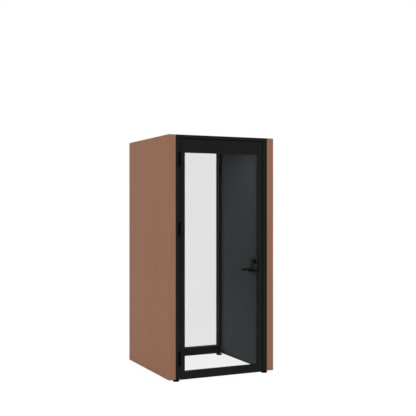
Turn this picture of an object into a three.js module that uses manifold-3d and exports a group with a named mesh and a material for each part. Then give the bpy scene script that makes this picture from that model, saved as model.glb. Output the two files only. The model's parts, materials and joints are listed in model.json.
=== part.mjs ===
// Acoustic office pod: a free-standing booth for one person. Two laminated, felt-lined side walls
// carry a glazed door at the front, a glazed rear wall and a roof with a fan and a light.
// Millimetres, +Z up, the door faces -Y. The origin is on the floor, under the middle of the pod.
import * as THREE from 'three';
import { mergeVertices } from 'three/addons/utils/BufferGeometryUtils.js';
import Module from 'manifold-3d';

const wasm = await Module();
wasm.setup();

// Overall form
const podWidth = 1105;
const podDepth = 1095;
const wallHeight = 2270;
const groundClearance = 20;

// Clearances: between fixed pieces, and round pieces that turn or slide
const seam = 0.25;
const runningGap = 0.4;

// Side walls: an outer board with edge studs, an acoustic core and a felt lining
const wallThickness = 70;
const boardThickness = 18;
const feltThickness = 12;
const frameDepth = 70;

// Front frame
const jambWidth = 47.5;
const headerHeight = 33;
const stopReach = 14;
const sealThickness = 3;
const sealWidth = 8;

// Door
const hingeGap = 4;
const lockGap = 6;
const headGap = 6;
const doorThickness = 46;
const stileWidth = 41.5;
const topRailHeight = 124;
const bottomRailHeight = 68.5;
const sweepThickness = 8;
const sweepDrop = 7;
const sweepRoot = 8;

// Glazing, the same for the door and the rear wall
const glassThickness = 10;
const glassBite = 12;
const doorGlassSetback = 24;
const rearGlassSetback = 23;
const gasketThickness = 3;
const gasketBase = 2;
const gasketLip = 2;

// Rear frame
const rearPostWidth = 26;
const rearBottomRailHeight = 83.5;

// Roof
const roofRecess = 32;
const roofThickness = 30;
const ceilingReveal = 1;

// Hinges
const barrelRadius = 8;
const barrelHeight = 128;
const knuckleCount = 5;
const pinRadius = 3.5;
const pinHeadRadius = 6.5;
const pinHeadHeight = 2.5;
const hingeAxisInset = 8.5;
const hingeAxisProud = 6.5;
const leafThickness = 3;
const leafMargin = 4;
const hingeDrop = 194;
const hingeSpacing = 646;
const hingeRise = 188;

// Lock: a slim case clamped on the pane beside the lock stile
const leverHeight = 1008;
const cylinderRise = 81;
const caseWidth = 54;
const caseTopMargin = 43.5;
const caseBottomMargin = 38.5;
const caseCorner = 7;
const caseToStile = 3;
const outsideCaseProud = 10;
const insideCaseProud = 28;
const lockBodyThickness = 18;
const lockBodyRim = 8;
const faceplateThickness = 3;
const faceplateWidth = 24;
const faceplateOverhang = 12;
const roseRadius = 23;
const roseHeight = 7;
const cylinderRadius = 21;
const cylinderHeight = 6;
const cylinderCoreRadius = 12;
const keyPlugRadius = 11;
const keyPlugHeight = 14;

// Lever handles and spindle
const leverLength = 106;
const leverBarHeight = 22;
const leverBarThickness = 11;
const leverStandoff = 44;
const leverNeckRadius = 10;
const spindleSide = 8;
const spindleSeat = 24;

// Bolts
const boltThickness = 12;
const latchHeight = 16;
const latchThrow = 12;
const latchBevel = 10;
const deadboltHeight = 28;
const deadboltThrow = 20;
const deadboltSetback = 0.5;
const boltTailGap = 9;
const strikeThickness = 2.5;
const strikeWidth = 26;
const strikeOverhang = 30;
const strikePlay = 1.5;
const pocketPlay = 5;

// Thumb turn
const thumbFlangeRadius = 20;
const thumbFlangeHeight = 5;
const thumbShaftRadius = 5;
const thumbShaftSeat = 8;
const thumbBladeLength = 34;
const thumbBladeThickness = 8;
const thumbBladeHeight = 18;

// Levelling feet
const footPadRadius = 31;
const footPadHeight = 14.5;
const footRimHeight = 13;
const footNeckRadius = 9;
const footNutRadius = 12;
const footNutHeight = 4;
const studRadius = 6;
const studReach = 40;
const footSideInset = 17;
const frontFootInset = 31;
const rearFootInset = 58;

// Fan
const ductRadius = 60;
const ductWall = 8;
const fanFlangeWidth = 12;
const fanFlangeThickness = 3;
const fanBladeCount = 7;
const fanTipGap = 3;
const fanHubRadius = 20;
const fanHubHeight = 14;
const fanBladeChord = 18;
const fanBladeThickness = 1.6;
const fanBladePitch = THREE.MathUtils.degToRad(32);
const motorRadius = 18;
const motorHeight = 12;
const motorArmCount = 4;
const motorArmWidth = 6;
const fanShaftRadius = 3;
const fanShaftHeight = 11;
const fanOffset = 180;
const grilleThickness = 3;
const grilleRingCount = 4;
const grilleSectorCount = 4;
const grilleBarWidth = 5;

// Light
const lightLength = 520;
const lightWidth = 60;
const lightTrayWall = 3;
const lightDepth = 10;
const diffuserThickness = 3;
const lightOffset = -200;

// Power inlet
const inletWidth = 60;
const inletLength = 40;
const inletHeight = 26;
const socketWidth = 28;
const socketLength = 20;
const socketDepth = 16;
const inletMargin = 70;

// Roundness of turned pieces
const fineSides = 32;
const coarseSides = 20;

// Planes that several pieces share
const halfWidth = podWidth / 2;
const frontY = -podDepth / 2;
const backY = podDepth / 2;
const baseZ = groundClearance;
const topZ = groundClearance + wallHeight;
const wallInnerX = halfWidth - wallThickness;
const jambInnerX = wallInnerX - jambWidth;
const frontInnerY = frontY + frameDepth;
const backInnerY = backY - frameDepth;
const headerZ = topZ - headerHeight;
const roofTopZ = topZ - roofRecess;
const roofZ = roofTopZ - roofThickness;
const ceilingZ = roofZ - feltThickness;

const doorHingeX = hingeGap - jambInnerX;
const doorLockX = jambInnerX - lockGap;
const doorBackY = frontY + doorThickness;
const doorBottomZ = baseZ;
const doorTopZ = headerZ - headGap;
const sightHalfWidth = jambInnerX - hingeGap - stileWidth;
const sightTopZ = doorTopZ - topRailHeight;
const sightBottomZ = doorBottomZ + bottomRailHeight;
const doorGlassY = [frontY + doorGlassSetback, frontY + doorGlassSetback + glassThickness];

const rearInnerX = wallInnerX - rearPostWidth;
const rearSightTopZ = ceilingZ - ceilingReveal;
const rearSightBottomZ = baseZ + rearBottomRailHeight;
const rearGlassY = [backY - rearGlassSetback - glassThickness, backY - rearGlassSetback];

const hingeX = -(jambInnerX + hingeAxisInset);
const hingeY = frontY - hingeAxisProud;

const caseRightX = sightHalfWidth - caseToStile;
const caseLeftX = caseRightX - caseWidth;
const lockX = (caseLeftX + caseRightX) / 2;
const lockY = (doorGlassY[0] + doorGlassY[1]) / 2;
const leverZ = leverHeight;
const cylinderZ = leverZ + cylinderRise;
const caseZ = [leverZ - caseBottomMargin, cylinderZ + caseTopMargin];
const caseFrontY = doorGlassY[0] - outsideCaseProud;
const caseBackY = doorGlassY[1] + insideCaseProud;
const lockBodyY = [lockY - lockBodyThickness / 2, lockY + lockBodyThickness / 2];
const lockBodyZ = [caseZ[0] + lockBodyRim, caseZ[1] - lockBodyRim];
const lockBodyLeftX = caseLeftX + lockBodyRim;
const leverProjection = leverStandoff + leverBarThickness - (caseFrontY - frontY);

const finishes = {
  laminate: { color: 0x8f6b58, roughness: 0.5, metalness: 0 },
  core: { color: 0xb7a67c, roughness: 0.95, metalness: 0 },
  felt: { color: 0x393c3d, roughness: 0.95, metalness: 0 },
  frame: { color: 0x1f1f1f, roughness: 0.45, metalness: 0.3 },
  hardware: { color: 0x0b0b0c, roughness: 0.4, metalness: 0.4 },
  steel: { color: 0x9a9ca0, roughness: 0.35, metalness: 1 },
  rubber: { color: 0x101010, roughness: 0.8, metalness: 0 },
  glass: { color: 0xe3ebe8, roughness: 0.05, metalness: 0, transparent: true, opacity: 0.25 },
  roof: { color: 0x2a2a2b, roughness: 0.7, metalness: 0 },
  plastic: { color: 0x18191a, roughness: 0.6, metalness: 0 },
  diffuser: { color: 0xf2f0e8, roughness: 0.4, metalness: 0 },
};

// Geometry helpers

// A box between two planes on each axis. The planes may come in either order.
function block(xs, ys, zs) {
  const spans = [xs, ys, zs];
  const size = spans.map(([a, b]) => Math.abs(b - a));
  const middle = spans.map(([a, b]) => (a + b) / 2);
  return new THREE.BoxGeometry(...size).translate(...middle);
}

function grow([low, high], amount) {
  return [low - amount, high + amount];
}

// A shape drawn in XZ, pushed along Y from one plane to the other.
function slabAlongY(shape, [from, to], curveSegments = 6) {
  const options = { depth: to - from, bevelEnabled: false, curveSegments };
  return new THREE.ExtrudeGeometry(shape, options).rotateX(Math.PI / 2).translate(0, to, 0);
}

// A shape drawn in XY, pushed along Z from one plane to the other.
function slabAlongZ(shape, [from, to], curveSegments = 6) {
  const options = { depth: to - from, bevelEnabled: false, curveSegments };
  return new THREE.ExtrudeGeometry(shape, options).translate(0, 0, from);
}

function outline(points) {
  return new THREE.Shape(points.map(([a, b]) => new THREE.Vector2(a, b)));
}

function roundedRectangle([left, right], [bottom, top], radius) {
  const shape = new THREE.Shape();
  shape.absarc(right - radius, top - radius, radius, 0, Math.PI / 2);
  shape.absarc(left + radius, top - radius, radius, Math.PI / 2, Math.PI);
  shape.absarc(left + radius, bottom + radius, radius, Math.PI, Math.PI * 1.5);
  shape.absarc(right - radius, bottom + radius, radius, Math.PI * 1.5, Math.PI * 2);
  shape.closePath();
  return shape;
}

// A rod along Y or Z between two planes.
function rodAlongY(x, z, radius, [from, to], sides = coarseSides) {
  const rod = new THREE.CylinderGeometry(radius, radius, to - from, sides);
  return rod.translate(x, (from + to) / 2, z);
}

function rodAlongZ(x, y, radius, [from, to], sides = coarseSides) {
  const rod = new THREE.CylinderGeometry(radius, radius, to - from, sides);
  return rod.rotateX(Math.PI / 2).translate(x, y, (from + to) / 2);
}

// A turned piece on the Z axis. The profile is [radius, height] pairs from the bottom of the axis up.
function turned(profile, sides = fineSides) {
  const points = profile.map(([radius, height]) => new THREE.Vector2(radius, height));
  return new THREE.LatheGeometry(points, sides).rotateX(Math.PI / 2);
}

function solidOf(geometry) {
  const bare = geometry.clone();
  bare.deleteAttribute('normal');
  bare.deleteAttribute('uv');
  const welded = mergeVertices(bare);
  const index = welded.index.array;
  const corners = [];
  for (let i = 0; i < index.length; i += 3) {
    const [a, b, c] = index.slice(i, i + 3);
    if (a !== b && b !== c && c !== a) corners.push(a, b, c);
  }
  const mesh = new wasm.Mesh({
    numProp: 3,
    vertProperties: welded.attributes.position.array,
    triVerts: Uint32Array.from(corners),
  });
  return new wasm.Manifold(mesh);
}

function geometryOf(solid) {
  const mesh = solid.getMesh();
  const geometry = new THREE.BufferGeometry();
  geometry.setAttribute('position', new THREE.BufferAttribute(mesh.vertProperties, 3));
  geometry.setIndex(new THREE.BufferAttribute(mesh.triVerts, 1));
  return geometry;
}

function cut(body, ...tools) {
  return geometryOf(tools.reduce((rest, tool) => rest.subtract(solidOf(tool)), solidOf(body)));
}

function join(first, ...others) {
  return geometryOf(others.reduce((whole, piece) => whole.add(solidOf(piece)), solidOf(first)));
}

function addPart(group, name, finish, geometry, position = [0, 0, 0]) {
  const mesh = new THREE.Mesh(geometry, new THREE.MeshStandardMaterial(finishes[finish]));
  mesh.name = name;
  mesh.position.set(...position);
  group.add(mesh);
}

const sides = [
  { word: 'left', sign: -1 },
  { word: 'right', sign: 1 },
];

// Foot places: the front studs turn in the jambs and the rear studs in the rear posts
const footX = wallInnerX - footSideInset;
const footY = { front: frontY + frontFootInset, rear: backY - rearFootInset };

function studBore(x, y) {
  return rodAlongZ(x, y, studRadius + runningGap, [baseZ - 1, baseZ + studReach + 2]);
}

// Hinge places, from the top of the door down
const hinges = [
  { word: 'upper', z: doorTopZ - hingeDrop },
  { word: 'middle', z: doorTopZ - hingeDrop - hingeSpacing },
  { word: 'lower', z: doorBottomZ + hingeRise },
];

// The shallow seat that one hinge leaf lies in, flush with the face
function leafSeat(xs, z) {
  const ys = [frontY - 1, frontY + leafThickness + seam];
  return block(xs, ys, grow([z - barrelHeight / 2, z + barrelHeight / 2], seam));
}

const frameLeafX = [-wallInnerX + leafMargin, -jambInnerX];
const doorLeafX = [doorHingeX, -sightHalfWidth - 3 * leafMargin];

// Side walls

function wallShell(sign) {
  const innerX = sign * wallInnerX;
  const feltX = sign * (wallInnerX + feltThickness);
  const boardX = sign * (halfWidth - boardThickness);
  const pocketY = [frontInnerY, backInnerY];
  const capZ = topZ - boardThickness;
  const whole = block([sign * halfWidth, innerX], [frontY, backY], [baseZ, topZ]);
  const feltRecess = block([innerX - sign, feltX], pocketY, [baseZ - 1, capZ]);
  const corePocket = block([innerX - sign, boardX], pocketY, [baseZ + boardThickness, capZ]);
  return cut(whole, feltRecess, corePocket);
}

function wallCore(sign) {
  const xs = [sign * (wallInnerX + feltThickness), sign * (halfWidth - boardThickness - seam)];
  const zs = [baseZ + boardThickness + seam, topZ - boardThickness - seam];
  return block(xs, grow([frontInnerY, backInnerY], -seam), zs);
}

function feltLining(sign) {
  const xs = [sign * wallInnerX, sign * (wallInnerX + feltThickness - seam)];
  return block(xs, grow([frontInnerY, backInnerY], -seam), [baseZ, topZ - boardThickness - seam]);
}

function addWalls(cabin) {
  for (const { word, sign } of sides) {
    addPart(cabin, `${word}_wall_shell`, 'laminate', wallShell(sign));
    addPart(cabin, `${word}_wall_core`, 'core', wallCore(sign));
    addPart(cabin, `${word}_felt_lining`, 'felt', feltLining(sign));
  }
}

// Front frame

function jambBlank(sign) {
  return block([sign * (wallInnerX - seam), sign * jambInnerX], [frontY, frontInnerY], [baseZ, topZ]);
}

function leftJamb() {
  const seats = hinges.map(({ z }) => leafSeat([frameLeafX[0] - seam, -jambInnerX + 1], z));
  return cut(jambBlank(-1), studBore(-footX, footY.front), ...seats);
}

// Plan and height of the hole that each bolt enters in the strike
const latchHole = {
  ys: grow([lockY - boltThickness / 2, lockY + boltThickness / 2], strikePlay),
  zs: grow([leverZ - latchHeight / 2, leverZ + latchHeight / 2], strikePlay),
  depth: latchThrow - lockGap + pocketPlay,
};
const deadboltHole = {
  ys: latchHole.ys,
  zs: grow([cylinderZ - deadboltHeight / 2, cylinderZ + deadboltHeight / 2], strikePlay),
  depth: deadboltThrow - deadboltSetback - lockGap + pocketPlay,
};
const strikeY = [lockY - strikeWidth / 2, lockY + strikeWidth / 2];
const strikeZ = [leverZ - strikeOverhang, cylinderZ + strikeOverhang];

function strikeHole({ ys, zs, depth }) {
  return block([jambInnerX - 1, jambInnerX + depth], ys, zs);
}

function rightJamb() {
  const seatX = [jambInnerX - 1, jambInnerX + strikeThickness + seam];
  const plateSeat = block(seatX, grow(strikeY, seam), grow(strikeZ, seam));
  const holes = [latchHole, deadboltHole].map(strikeHole);
  return cut(jambBlank(1), studBore(footX, footY.front), plateSeat, ...holes);
}

function strikePlate() {
  const plate = block([jambInnerX, jambInnerX + strikeThickness], strikeY, strikeZ);
  return cut(plate, strikeHole(latchHole), strikeHole(deadboltHole));
}

const stopY = [doorBackY + sealThickness + 2 * seam, frontInnerY];

function sideStop(sign) {
  const xs = [sign * (jambInnerX - seam), sign * (jambInnerX - stopReach)];
  return block(xs, stopY, [baseZ, headerZ - seam]);
}

function topStop() {
  const reach = jambInnerX - stopReach - seam;
  return block([-reach, reach], stopY, [ceilingZ, headerZ - seam]);
}

// One bulb seal runs up the left stop, across the top stop and down the right stop
function doorSeal() {
  const outerX = doorLockX - 1;
  const innerX = outerX - sealWidth;
  const outerZ = doorTopZ - 1;
  const innerZ = outerZ - sealWidth;
  const shape = outline([
    [-outerX, baseZ],
    [-innerX, baseZ],
    [-innerX, innerZ],
    [innerX, innerZ],
    [innerX, baseZ],
    [outerX, baseZ],
    [outerX, outerZ],
    [-outerX, outerZ],
  ]);
  return slabAlongY(shape, [doorBackY + seam, doorBackY + seam + sealThickness]);
}

function addFrontFrame(cabin) {
  const headerX = jambInnerX - seam;
  const header = block([-headerX, headerX], [frontY, frontInnerY], [headerZ, topZ]);
  addPart(cabin, 'front_left_jamb', 'frame', leftJamb());
  addPart(cabin, 'front_right_jamb', 'frame', rightJamb());
  addPart(cabin, 'front_header', 'frame', header);
  for (const { word, sign } of sides) addPart(cabin, `${word}_door_stop`, 'frame', sideStop(sign));
  addPart(cabin, 'top_door_stop', 'frame', topStop());
  addPart(cabin, 'door_seal', 'rubber', doorSeal());
  addPart(cabin, 'strike_plate', 'steel', strikePlate());
}

// Glazing: each pane sits in a rubber channel, and the channel sits in a groove of the frame

const grooveDepth = glassBite + gasketBase + seam;

function grooveSpan([front, back]) {
  return grow([front, back], gasketThickness + seam);
}

function gasketRing(halfSight, [bottom, top], glassY) {
  const outer = glassBite + gasketBase;
  const ringY = grow(glassY, gasketThickness);
  const [outerX, innerX] = [halfSight + outer, halfSight - gasketLip];
  const ring = block([-outerX, outerX], ringY, grow([bottom, top], outer));
  const opening = block([-innerX, innerX], grow(ringY, 1), grow([bottom, top], -gasketLip));
  const seatX = halfSight + glassBite + seam;
  const seat = block([-seatX, seatX], grow(glassY, seam), grow([bottom, top], glassBite + seam));
  return cut(ring, opening, seat);
}

function pane(halfSight, [bottom, top], glassY) {
  const halfPane = halfSight + glassBite;
  return block([-halfPane, halfPane], glassY, grow([bottom, top], glassBite));
}

// Rear frame

function rearPost(sign) {
  const post = block([sign * (wallInnerX - seam), sign * rearInnerX], [backInnerY, backY], [baseZ, topZ]);
  const grooveX = [sign * (rearInnerX - 1), sign * (rearInnerX + grooveDepth)];
  const groove = block(grooveX, grooveSpan(rearGlassY), [baseZ + studReach + 4, topZ - boardThickness]);
  return cut(post, groove, studBore(sign * footX, footY.rear));
}

function rearRail([bottom, top], [grooveFrom, grooveTo]) {
  const reach = rearInnerX - seam;
  const rail = block([-reach, reach], [backInnerY, backY], [bottom, top]);
  return cut(rail, block([-halfWidth, halfWidth], grooveSpan(rearGlassY), [grooveFrom, grooveTo]));
}

function addRearFrame(cabin) {
  const sightZ = [rearSightBottomZ, rearSightTopZ];
  const topGroove = [rearSightTopZ - 1, rearSightTopZ + grooveDepth];
  const bottomGroove = [rearSightBottomZ - grooveDepth, rearSightBottomZ + 1];
  for (const { word, sign } of sides) addPart(cabin, `rear_${word}_post`, 'frame', rearPost(sign));
  addPart(cabin, 'rear_top_rail', 'frame', rearRail([rearSightTopZ, topZ], topGroove));
  addPart(cabin, 'rear_bottom_rail', 'frame', rearRail([baseZ, rearSightBottomZ], bottomGroove));
  addPart(cabin, 'rear_glass', 'glass', pane(rearInnerX, sightZ, rearGlassY));
  addPart(cabin, 'rear_glazing_gasket', 'rubber', gasketRing(rearInnerX, sightZ, rearGlassY));
}

// Roof

const fanY = fanOffset;
const fanHalf = ductRadius + ductWall;
const fanFlangeHalf = fanHalf + fanFlangeWidth;

// A square plate with rings of curved slots over the duct
function grille([bottom, top]) {
  const shape = roundedRectangle([-fanFlangeHalf, fanFlangeHalf], [-fanFlangeHalf, fanFlangeHalf], caseCorner);
  const slotWidth = (ductRadius - grilleBarWidth * grilleRingCount) / grilleRingCount;
  const sector = (Math.PI * 2) / grilleSectorCount;
  for (let ring = 1; ring < grilleRingCount; ring += 1) {
    const outer = ductRadius - (ring - 1) * (slotWidth + grilleBarWidth);
    const inner = outer - slotWidth;
    const rib = grilleBarWidth / inner;
    for (let turn = 0; turn < grilleSectorCount; turn += 1) {
      const slot = new THREE.Path();
      slot.absarc(0, 0, outer, turn * sector + rib / 2, (turn + 1) * sector - rib / 2);
      slot.absarc(0, 0, inner, (turn + 1) * sector - rib / 2, turn * sector + rib / 2, true);
      slot.closePath();
      shape.holes.push(slot);
    }
  }
  return slabAlongZ(shape, [bottom, top]).translate(0, fanY, 0);
}

const motorZ = [roofZ + seam, roofZ + seam + motorHeight];
const hubZ = [motorZ[1] + runningGap, motorZ[1] + runningGap + fanHubHeight];

function fanHousing() {
  const bodyZ = [roofZ + seam, roofTopZ + seam + fanFlangeThickness];
  const flangeZ = [roofTopZ + seam, bodyZ[1]];
  const body = block([-fanHalf, fanHalf], [fanY - fanHalf, fanY + fanHalf], bodyZ);
  const flangeY = [fanY - fanFlangeHalf, fanY + fanFlangeHalf];
  const flange = block([-fanFlangeHalf, fanFlangeHalf], flangeY, flangeZ);
  const duct = rodAlongZ(0, fanY, ductRadius, grow(bodyZ, 1), fineSides);
  const arms = [];
  for (let arm = 0; arm < motorArmCount; arm += 1) {
    const angle = ((arm + 0.5) * Math.PI * 2) / motorArmCount;
    const bar = block([0, ductRadius + ductWall / 2], [-motorArmWidth / 2, motorArmWidth / 2], motorZ);
    arms.push(bar.rotateZ(angle).translate(0, fanY, 0));
  }
  const motor = rodAlongZ(0, fanY, motorRadius, motorZ);
  const shaft = rodAlongZ(0, fanY, fanShaftRadius, [motorZ[0] + 1, motorZ[1] + fanShaftHeight]);
  return join(cut(join(body, flange), duct), motor, shaft, ...arms);
}

function fanRotor() {
  const middleZ = (hubZ[0] + hubZ[1]) / 2;
  const blades = [];
  for (let turn = 0; turn < fanBladeCount; turn += 1) {
    const span = [fanHubRadius - 3, ductRadius - fanTipGap];
    const halfChord = [-fanBladeChord / 2, fanBladeChord / 2];
    const blade = block(span, halfChord, [-fanBladeThickness / 2, fanBladeThickness / 2]);
    blade.rotateX(fanBladePitch).rotateZ((turn * Math.PI * 2) / fanBladeCount);
    blades.push(blade.translate(0, fanY, middleZ));
  }
  const hub = rodAlongZ(0, fanY, fanHubRadius, hubZ);
  const boreTop = motorZ[1] + fanShaftHeight + runningGap;
  const bore = rodAlongZ(0, fanY, fanShaftRadius + runningGap, [hubZ[0] - 1, boreTop]);
  return cut(join(hub, ...blades), bore);
}

const lightX = [-lightLength / 2, lightLength / 2];
const lightY = [lightOffset - lightWidth / 2, lightOffset + lightWidth / 2];
const lightZ = [roofZ - seam - lightDepth, roofZ - seam];

function lightTray() {
  const tray = block(lightX, lightY, lightZ);
  const hollowZ = [lightZ[0] - 1, lightZ[1] - lightTrayWall];
  return cut(tray, block(grow(lightX, -lightTrayWall), grow(lightY, -lightTrayWall), hollowZ));
}

function lightDiffuser() {
  const inset = -lightTrayWall - seam;
  return block(grow(lightX, inset), grow(lightY, inset), [lightZ[0], lightZ[0] + diffuserThickness]);
}

function roofDeck() {
  const reach = wallInnerX - seam;
  const deck = block([-reach, reach], grow([frontInnerY, backInnerY], -seam), [roofZ, roofTopZ]);
  const openingX = grow([-fanHalf, fanHalf], seam);
  const opening = block(openingX, grow([fanY - fanHalf, fanY + fanHalf], seam), grow([roofZ, roofTopZ], 1));
  return cut(deck, opening);
}

function ceilingFelt() {
  const reach = wallInnerX - seam;
  const zs = [ceilingZ, roofZ - seam];
  const felt = block([-reach, reach], grow([frontInnerY, backInnerY], -seam), zs);
  const vent = rodAlongZ(0, fanY, ductRadius, grow(zs, 1), fineSides);
  const lightCut = block(grow(lightX, seam), grow(lightY, seam), grow(zs, 1));
  return cut(felt, vent, lightCut);
}

function powerInlet() {
  const middleX = wallInnerX - inletMargin - inletWidth / 2;
  const middleY = backInnerY - inletMargin - inletLength / 2;
  const zs = [roofTopZ + seam, roofTopZ + seam + inletHeight];
  const xs = [middleX - inletWidth / 2, middleX + inletWidth / 2];
  const ys = [middleY - inletLength / 2, middleY + inletLength / 2];
  const socketX = [middleX - socketWidth / 2, middleX + socketWidth / 2];
  const socketY = [middleY - socketLength / 2, middleY + socketLength / 2];
  return cut(block(xs, ys, zs), block(socketX, socketY, [zs[1] - socketDepth, zs[1] + 1]));
}

function addRoof(cabin) {
  const guardZ = roofTopZ + 2 * seam + fanFlangeThickness;
  addPart(cabin, 'roof_deck', 'roof', roofDeck());
  addPart(cabin, 'ceiling_felt', 'felt', ceilingFelt());
  addPart(cabin, 'fan_housing', 'plastic', fanHousing());
  addPart(cabin, 'fan_guard', 'plastic', grille([guardZ, guardZ + grilleThickness]));
  addPart(cabin, 'ceiling_grille', 'plastic', grille([ceilingZ - seam - grilleThickness, ceilingZ - seam]));
  addPart(cabin, 'light_tray', 'plastic', lightTray());
  addPart(cabin, 'light_diffuser', 'diffuser', lightDiffuser());
  addPart(cabin, 'power_inlet', 'plastic', powerInlet());
}

// Hinges: knuckles alternate between the leaf on the jamb and the leaf on the door

const knucklePitch = barrelHeight / knuckleCount;
const hingeHalf = barrelHeight / 2;

// One leaf about its own pin: a plate, and a finger from the plate to each of its knuckles
function hingeLeaf([near, far], firstKnuckle) {
  const plateY = [hingeAxisProud, hingeAxisProud + leafThickness];
  const pieces = [block([near, far], plateY, [-hingeHalf, hingeHalf])];
  for (let knuckle = firstKnuckle; knuckle < knuckleCount; knuckle += 2) {
    const bottom = knuckle * knucklePitch - hingeHalf;
    const zs = grow([bottom, bottom + knucklePitch], -seam);
    pieces.push(block([0, (near + far) / 2], plateY, zs));
    pieces.push(rodAlongZ(0, 0, barrelRadius, zs));
  }
  const bore = rodAlongZ(0, 0, pinRadius + runningGap, grow([-hingeHalf, hingeHalf], 1));
  return cut(join(...pieces), bore);
}

function hingePin() {
  const shoulder = hingeHalf + seam;
  return turned([
    [0, -shoulder - pinHeadHeight],
    [pinHeadRadius * 0.6, -shoulder - pinHeadHeight],
    [pinHeadRadius, -shoulder - pinHeadHeight / 2],
    [pinHeadRadius, -shoulder],
    [pinRadius, -shoulder],
    [pinRadius, shoulder],
    [pinHeadRadius, shoulder],
    [pinHeadRadius, shoulder + pinHeadHeight / 2],
    [pinHeadRadius * 0.6, shoulder + pinHeadHeight],
    [0, shoulder + pinHeadHeight],
  ], coarseSides);
}

function addHinges(cabin, door) {
  const clear = barrelRadius + 2 * seam;
  const frameSpan = [frameLeafX[0] - hingeX, -clear - leafThickness];
  const doorSpan = [doorLeafX[0] - hingeX + seam, doorLeafX[1] - hingeX];
  for (const { word, z } of hinges) {
    const place = [hingeX, hingeY, z];
    addPart(cabin, `${word}_hinge_frame_leaf`, 'hardware', hingeLeaf(frameSpan, 0), place);
    addPart(cabin, `${word}_hinge_pin`, 'hardware', hingePin(), place);
    addPart(door, `${word}_hinge_door_leaf`, 'hardware', hingeLeaf(doorSpan, 1), place);
  }
}

// Door frame

const sweepY = [
  (frontY + doorBackY - sweepThickness) / 2,
  (frontY + doorBackY + sweepThickness) / 2,
];
const sweepTopZ = doorBottomZ + sweepRoot;

function sweepGroove() {
  return block([-halfWidth, halfWidth], grow(sweepY, seam), [doorBottomZ - 1, sweepTopZ + seam]);
}

function stileBlank(sign, outerX) {
  const stile = block([outerX, sign * sightHalfWidth], [frontY, doorBackY], [doorBottomZ, doorTopZ]);
  const grooveX = [sign * (sightHalfWidth - 1), sign * (sightHalfWidth + grooveDepth)];
  const grooveZ = [sightBottomZ - grooveDepth, sightTopZ + grooveDepth];
  return cut(stile, block(grooveX, grooveSpan(doorGlassY), grooveZ), sweepGroove());
}

function hingeStile() {
  const seats = hinges.map(({ z }) => leafSeat([doorHingeX - 1, doorLeafX[1] + seam], z));
  return cut(stileBlank(-1, doorHingeX), ...seats);
}

const faceplateX = [doorLockX - faceplateThickness, doorLockX];
const faceplateY = [lockY - faceplateWidth / 2, lockY + faceplateWidth / 2];
const faceplateZ = grow(lockBodyZ, faceplateOverhang);

function lockStile() {
  const slotX = [sightHalfWidth - 1, doorLockX + 1];
  const slot = block(slotX, grow(lockBodyY, seam), grow(lockBodyZ, seam));
  const plateX = [faceplateX[0] - seam, doorLockX + 1];
  const plateSeat = block(plateX, grow(faceplateY, seam), grow(faceplateZ, seam));
  return cut(stileBlank(1, doorLockX), slot, plateSeat);
}

function doorRail([bottom, top], [grooveFrom, grooveTo]) {
  const reach = sightHalfWidth - seam;
  const rail = block([-reach, reach], [frontY, doorBackY], [bottom, top]);
  return cut(rail, block([-halfWidth, halfWidth], grooveSpan(doorGlassY), [grooveFrom, grooveTo]));
}

// The lock body passes through a notch in the edge of the pane
function lockNotch() {
  return block([lockBodyLeftX - seam, halfWidth], grow([frontY, doorBackY], 1), grow(lockBodyZ, seam));
}

function addDoorFrame(door) {
  const sightZ = [sightBottomZ, sightTopZ];
  const topGroove = [sightTopZ - 1, sightTopZ + grooveDepth];
  const bottomGroove = [sightBottomZ - grooveDepth, sightBottomZ + 1];
  const bottomRail = cut(doorRail([doorBottomZ, sightBottomZ], bottomGroove), sweepGroove());
  const sweep = block([doorHingeX + 1, doorLockX - 1], sweepY, [doorBottomZ - sweepDrop, sweepTopZ]);
  const glass = cut(pane(sightHalfWidth, sightZ, doorGlassY), lockNotch());
  const gasket = cut(gasketRing(sightHalfWidth, sightZ, doorGlassY), lockNotch());
  addPart(door, 'door_hinge_stile', 'frame', hingeStile());
  addPart(door, 'door_lock_stile', 'frame', lockStile());
  addPart(door, 'door_top_rail', 'frame', doorRail([sightTopZ, doorTopZ], topGroove));
  addPart(door, 'door_bottom_rail', 'frame', bottomRail);
  addPart(door, 'door_glass', 'glass', glass);
  addPart(door, 'door_glazing_gasket', 'rubber', gasket);
  addPart(door, 'door_sweep', 'rubber', sweep);
}

// Lock

const boltY = [lockY - boltThickness / 2, lockY + boltThickness / 2];
const latchZ = [leverZ - latchHeight / 2, leverZ + latchHeight / 2];
const deadboltZ = [cylinderZ - deadboltHeight / 2, cylinderZ + deadboltHeight / 2];
const channelX = [lockX + boltTailGap, doorLockX + 1];
const spindleBoreRadius = spindleSide * Math.SQRT1_2 + runningGap;

function lockBody() {
  const body = block([lockBodyLeftX, doorLockX], lockBodyY, lockBodyZ);
  const faceplate = block(faceplateX, faceplateY, faceplateZ);
  const latchChannel = block(channelX, grow(boltY, runningGap), grow(latchZ, runningGap));
  const deadboltChannel = block(channelX, grow(boltY, runningGap), grow(deadboltZ, runningGap));
  const spindleBore = rodAlongY(lockX, leverZ, spindleBoreRadius, grow(lockBodyY, 1));
  const turnBore = rodAlongY(lockX, cylinderZ, thumbShaftRadius + runningGap, grow(lockBodyY, 1));
  return cut(join(body, faceplate), latchChannel, deadboltChannel, spindleBore, turnBore);
}

function lockBodySeat() {
  return block([lockBodyLeftX - seam, halfWidth], grow(lockBodyY, seam), grow(lockBodyZ, seam));
}

function caseBlank(ys) {
  return slabAlongY(roundedRectangle([caseLeftX, caseRightX], caseZ, caseCorner), ys, 4);
}

function leverBore(ys) {
  return rodAlongY(lockX, leverZ, leverNeckRadius + runningGap, ys, fineSides);
}

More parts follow.
